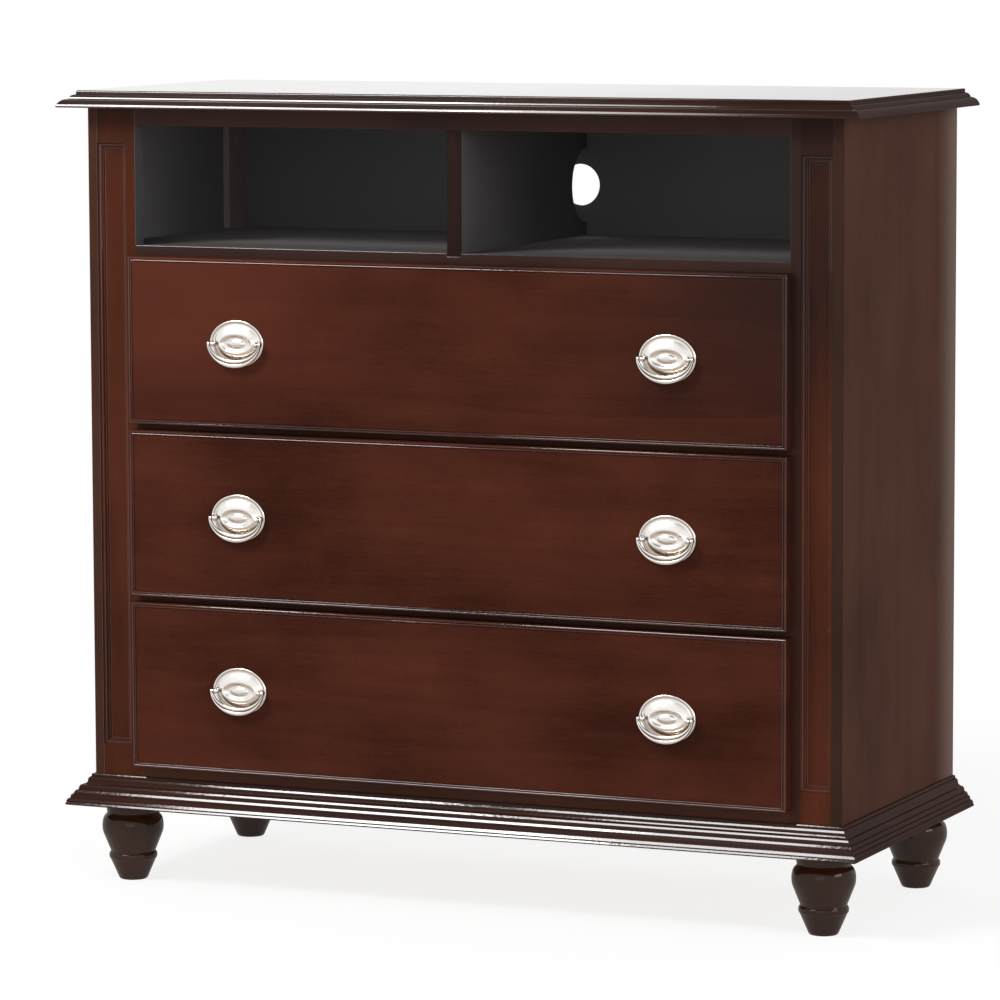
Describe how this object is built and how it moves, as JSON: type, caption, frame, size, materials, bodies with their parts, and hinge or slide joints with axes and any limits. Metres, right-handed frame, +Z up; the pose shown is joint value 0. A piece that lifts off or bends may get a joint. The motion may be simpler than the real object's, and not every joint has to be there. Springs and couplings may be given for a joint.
{
  "type": "media chest",
  "caption": "Cherry-stained media chest: open divided cubby over moulded drawers with oval bail pulls, on turned feet.",
  "frame": {"origin": "on the floor, in the middle of the overall width and depth", "axes": "+X to the right as the chest is faced, +Y to the back, +Z up"},
  "size_m": [1.118, 0.4586, 1.052],
  "materials": {
    "case_wood": "satin cherry lacquer",
    "moulding_wood": "gloss dark cherry lacquer",
    "front_wood": "satin cherry lacquer",
    "foot_wood": "gloss dark lacquer",
    "cubby_board": "satin black",
    "back_board": "matte black hardboard",
    "inner_wood": "unfinished hardwood",
    "box_wood": "clear lacquer",
    "box_bottom": "clear lacquered plywood",
    "pull_metal": "satin nickel",
    "bolt_steel": "zinc plated"
  },
  "bodies": {
    "chest": {"top_board": "case_wood", "top_moulding_front": "moulding_wood", "top_moulding_left": "moulding_wood", "top_moulding_right": "moulding_wood", "left_side_panel": "case_wood", "right_side_panel": "case_wood", "left_pilaster": "case_wood", "right_pilaster": "case_wood", "left_pilaster_strip": "case_wood", "right_pilaster_strip": "case_wood", "top_rail": "case_wood", "drawer_rails": "case_wood", "bottom_rail": "case_wood", "rear_rails": "inner_wood", "side_runners": "inner_wood", "centre_runners": "inner_wood", "cubby_shelf": "cubby_board", "cubby_divider": "cubby_board", "upper_back_panel": "back_board", "lower_back_panel": "back_board", "corner_posts": "case_wood", "bottom_board": "inner_wood", "base_moulding_front": "moulding_wood", "base_moulding_left": "moulding_wood", "base_moulding_right": "moulding_wood", "front_left_foot": "foot_wood", "front_right_foot": "foot_wood", "rear_left_foot": "foot_wood", "rear_right_foot": "foot_wood", "foot_blocks": "inner_wood", "foot_bolts": "bolt_steel"},
    "upper_drawer": {"upper_drawer_front": "front_wood", "upper_drawer_sides": "box_wood", "upper_drawer_ends": "box_wood", "upper_drawer_bottom": "box_bottom", "upper_drawer_guides": "inner_wood", "upper_drawer_pull_plates": "pull_metal", "upper_drawer_pull_posts": "pull_metal"},
    "upper_left_bail": {"upper_left_bail": "pull_metal"},
    "upper_right_bail": {"upper_right_bail": "pull_metal"},
    "middle_drawer": {"middle_drawer_front": "front_wood", "middle_drawer_sides": "box_wood", "middle_drawer_ends": "box_wood", "middle_drawer_bottom": "box_bottom", "middle_drawer_guides": "inner_wood", "middle_drawer_pull_plates": "pull_metal", "middle_drawer_pull_posts": "pull_metal"},
    "middle_left_bail": {"middle_left_bail": "pull_metal"},
    "middle_right_bail": {"middle_right_bail": "pull_metal"},
    "lower_drawer": {"lower_drawer_front": "front_wood", "lower_drawer_sides": "box_wood", "lower_drawer_ends": "box_wood", "lower_drawer_bottom": "box_bottom", "lower_drawer_guides": "inner_wood", "lower_drawer_pull_plates": "pull_metal", "lower_drawer_pull_posts": "pull_metal"},
    "lower_left_bail": {"lower_left_bail": "pull_metal"},
    "lower_right_bail": {"lower_right_bail": "pull_metal"}
  },
  "joints": [
    {"name": "upper_drawer_slide", "type": "slide", "parent": "chest", "child": "upper_drawer", "axis": [0, -1, 0], "range_m": [0, 0.3]},
    {"name": "upper_left_bail_hinge", "type": "hinge", "parent": "upper_drawer", "child": "upper_left_bail", "pos_m": [-0.3, -0.2257, 0.727], "axis": [-1, 0, 0], "range_deg": [0, 95]},
    {"name": "upper_right_bail_hinge", "type": "hinge", "parent": "upper_drawer", "child": "upper_right_bail", "pos_m": [0.3, -0.2257, 0.727], "axis": [-1, 0, 0], "range_deg": [0, 95]},
    {"name": "middle_drawer_slide", "type": "slide", "parent": "chest", "child": "middle_drawer", "axis": [0, -1, 0], "range_m": [0, 0.3]},
    {"name": "middle_left_bail_hinge", "type": "hinge", "parent": "middle_drawer", "child": "middle_left_bail", "pos_m": [-0.3, -0.2257, 0.499], "axis": [-1, 0, 0], "range_deg": [0, 95]},
    {"name": "middle_right_bail_hinge", "type": "hinge", "parent": "middle_drawer", "child": "middle_right_bail", "pos_m": [0.3, -0.2257, 0.499], "axis": [-1, 0, 0], "range_deg": [0, 95]},
    {"name": "lower_drawer_slide", "type": "slide", "parent": "chest", "child": "lower_drawer", "axis": [0, -1, 0], "range_m": [0, 0.3]},
    {"name": "lower_left_bail_hinge", "type": "hinge", "parent": "lower_drawer", "child": "lower_left_bail", "pos_m": [-0.3, -0.2257, 0.271], "axis": [-1, 0, 0], "range_deg": [0, 95]},
    {"name": "lower_right_bail_hinge", "type": "hinge", "parent": "lower_drawer", "child": "lower_right_bail", "pos_m": [0.3, -0.2257, 0.271], "axis": [-1, 0, 0], "range_deg": [0, 95]}
  ]
}
